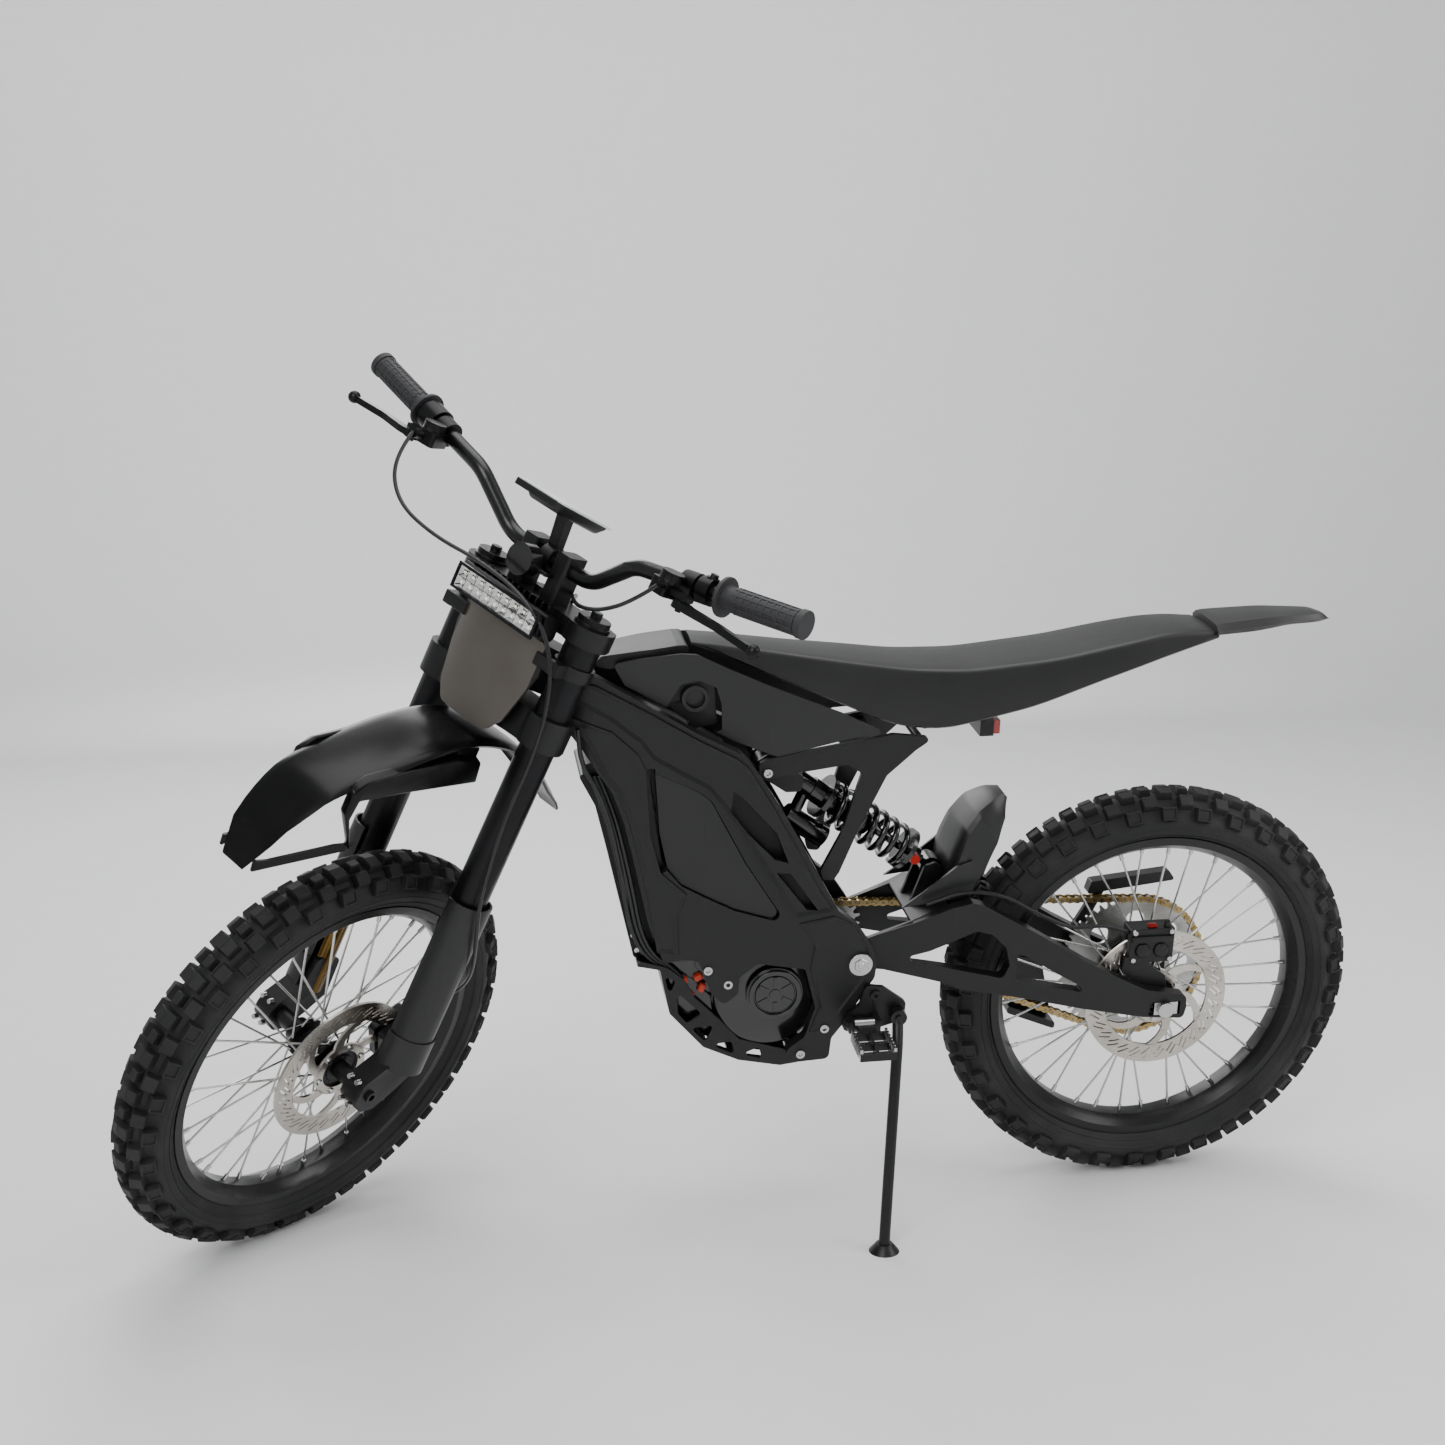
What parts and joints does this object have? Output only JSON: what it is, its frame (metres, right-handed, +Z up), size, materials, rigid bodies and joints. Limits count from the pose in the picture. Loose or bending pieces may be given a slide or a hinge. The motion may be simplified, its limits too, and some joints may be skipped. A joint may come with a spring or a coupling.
{
  "type": "off-road motorcycle",
  "caption": "Electric off-road motorcycle with cast twin-spar frame, upside-down fork, swingarm with shock, chain drive and side stand.",
  "frame": {"origin": "middle of the bounding box in X and Y, on the ground, with the machine leaning on its side stand and the bars turned left", "axes": "+X forward along the rear wheel's heading, +Y to the rider's left, +Z up"},
  "size_m": [1.8089, 0.6374, 1.2574],
  "materials": {
    "cast_frame": "satin",
    "battery_panel": "satin",
    "battery_case": "matte",
    "controller_alloy": "anodised black",
    "motor_black": "gloss",
    "skid_alloy": "satin",
    "seat_cover": "grained",
    "body_plastic": "satin",
    "gloss_plastic": "gloss",
    "lamp_red": "clear red",
    "bolt_steel": "bright",
    "peg_steel": "cast",
    "stand_steel": "satin",
    "sprocket_steel": "brushed",
    "chain_gold": "plated",
    "caliper_black": "satin",
    "hub_black": "anodised black",
    "rim_black": "anodised black",
    "spoke_steel": "bright",
    "disc_steel": "ground",
    "tyre": "moulded",
    "shock_black": "gloss",
    "clamp_alloy": "anodised black",
    "fork_tube": "anodised black",
    "fork_gold": "gold nitride",
    "bar_black": "gloss",
    "screen": "gloss",
    "horn_black": "gloss",
    "lamp_body": "anodised",
    "plate_grey": "satin metallic",
    "control_black": "satin",
    "button_grey": "matte",
    "grip_rubber": "matte",
    "hose_rubber": "satin"
  },
  "bodies": {
    "frame": {"frame_shell_left": "cast_frame", "frame_shell_right": "cast_frame", "frame_core": "cast_frame", "battery": "battery_case", "battery_covers": "battery_panel", "controller": "controller_alloy", "motor": "motor_black", "skid_plate": "skid_alloy", "subframe": "cast_frame", "seat": "seat_cover", "tank_cover": "body_plastic", "side_panels": "body_plastic", "tail_fender": "body_plastic", "tail_light": "lamp_red", "peg_brackets": "skid_alloy", "frame_bolts": "bolt_steel", "wiring": "hose_rubber"},
    "steering": {"triple_clamps": "clamp_alloy", "fork_outer_tubes": "fork_tube", "handlebar": "bar_black", "display": "screen", "horn": "horn_black", "headlight": "lamp_body", "number_plate": "plate_grey", "front_fender": "gloss_plastic", "bar_controls": "control_black", "grip_left": "grip_rubber", "front_brake_hose": "hose_rubber", "rear_brake_hose": "hose_rubber"},
    "fork_lower": {"fork_sliders": "fork_gold", "fork_guards": "body_plastic", "front_caliper": "caliper_black"},
    "front_wheel": {"front_hub": "hub_black", "front_spokes": "spoke_steel", "front_rim": "rim_black", "front_tyre": "tyre", "front_disc": "disc_steel"},
    "throttle": {"throttle_grip": "grip_rubber"},
    "front_brake_lever": {"brake_lever_right": "control_black"},
    "rear_brake_lever": {"brake_lever_left": "control_black"},
    "mode_button": {"mode_button": "button_grey"},
    "swingarm": {"swingarm": "cast_frame", "chain_guides": "body_plastic", "hugger": "body_plastic", "rear_axle": "bolt_steel", "rear_caliper": "caliper_black", "chain": "chain_gold"},
    "rear_wheel": {"rear_hub": "hub_black", "rear_spokes": "spoke_steel", "rear_rim": "rim_black", "rear_tyre": "tyre", "rear_disc": "disc_steel", "rear_sprocket": "sprocket_steel"},
    "drive_sprocket": {"drive_sprocket": "sprocket_steel"},
    "shock_body": {"shock_body": "shock_black", "shock_spring": "shock_black"},
    "shock_rod": {"shock_rod": "shock_black"},
    "footpeg_left": {"footpeg_left": "peg_steel"},
    "footpeg_right": {"footpeg_right": "peg_steel"},
    "side_stand": {"side_stand": "stand_steel"}
  },
  "joints": [
    {"name": "steering", "type": "hinge", "parent": "frame", "child": "steering", "pos_m": [0.35084, -0.03476, 0.86889], "axis": [-0.4017, 0.1274, 0.9068], "range_deg": [-84, 0]},
    {"name": "fork_travel", "type": "slide", "parent": "steering", "child": "fork_lower", "axis": [-0.4017, 0.1274, 0.9068], "range_m": [0, 0.15], "stiffness_N_per_m": 5200, "springref_m": -0.16, "deforming": ["front_brake_hose"]},
    {"name": "front_wheel_spin", "type": "hinge", "parent": "fork_lower", "child": "front_wheel", "pos_m": [0.64402, -0.07901, 0.29924], "axis": [-0.6128, 0.6985, -0.3696], "continuous": true},
    {"name": "throttle_turn", "type": "hinge", "parent": "steering", "child": "throttle", "pos_m": [0.48827, -0.22217, 1.20675], "axis": [0.4968, -0.6956, 0.519], "range_deg": [0, 70], "stiffness_Nm_per_rad": 0.25, "springref_deg": -17.19},
    {"name": "front_brake_pull", "type": "hinge", "parent": "steering", "child": "front_brake_lever", "pos_m": [0.482, -0.14019, 1.15022], "axis": [0.4017, -0.1274, -0.9068], "range_deg": [0, 16], "stiffness_Nm_per_rad": 1.2, "springref_deg": -17.19},
    {"name": "rear_brake_pull", "type": "hinge", "parent": "steering", "child": "rear_brake_lever", "pos_m": [0.16582, 0.22024, 0.9595], "axis": [-0.4017, 0.1274, 0.9068], "range_deg": [0, 16], "stiffness_Nm_per_rad": 1.2, "springref_deg": -17.19},
    {"name": "mode_button_press", "type": "slide", "parent": "steering", "child": "mode_button", "axis": [0.4017, -0.1274, -0.9068], "range_m": [0, 0.002], "stiffness_N_per_m": 600, "springref_m": -0.001},
    {"name": "swingarm_travel", "type": "hinge", "parent": "frame", "child": "swingarm", "pos_m": [-0.11992, -0.09816, 0.41777], "axis": [0, 0.9903, -0.1392], "range_deg": [0, 20], "stiffness_Nm_per_rad": 900, "springref_deg": -34.38},
    {"name": "rear_wheel_spin", "type": "hinge", "parent": "swingarm", "child": "rear_wheel", "pos_m": [-0.5865, -0.11256, 0.31533], "axis": [0, 0.9903, -0.1392], "continuous": true},
    {"name": "drive_sprocket_spin", "type": "hinge", "parent": "swingarm", "child": "drive_sprocket", "pos_m": [-0.11992, -0.09816, 0.41777], "axis": [0, 0.9903, -0.1392], "continuous": true},
    {"name": "shock_swing", "type": "hinge", "parent": "frame", "child": "shock_body", "pos_m": [-0.02953, -0.0626, 0.6708], "axis": [0, 0.9903, -0.1392], "range_deg": [-0.01, 0.56]},
    {"name": "shock_stroke", "type": "slide", "parent": "shock_body", "child": "shock_rod", "axis": [0.8166, 0.0803, 0.5715], "range_m": [0, 0.05561], "deforming": ["shock_spring"]},
    {"name": "footpeg_left_fold", "type": "hinge", "parent": "frame", "child": "footpeg_left", "pos_m": [-0.12439, 0.00078, 0.31705], "axis": [1, -0.0008, -0.0054], "range_deg": [0, 45], "stiffness_Nm_per_rad": 3, "springref_deg": -22.92},
    {"name": "footpeg_right_fold", "type": "hinge", "parent": "frame", "child": "footpeg_right", "pos_m": [-0.12439, -0.22104, 0.34822], "axis": [-1, 0.0008, 0.0054], "range_deg": [0, 45], "stiffness_Nm_per_rad": 3, "springref_deg": -22.92},
    {"name": "side_stand_fold", "type": "hinge", "parent": "frame", "child": "side_stand", "pos_m": [-0.17435, -0.00203, 0.3258], "axis": [0, 0.9903, -0.1392], "range_deg": [0, 100], "stiffness_Nm_per_rad": 6, "springref_deg": -45.84}
  ],
  "couplings": [
    {"joint": "drive_sprocket_spin", "follows": "rear_wheel_spin", "ratio": 4},
    {"joint": "shock_swing", "follows": "swingarm_travel", "ratio": 0.0275},
    {"joint": "shock_stroke", "follows": "swingarm_travel", "m_per_rad": 0.15903}
  ]
}
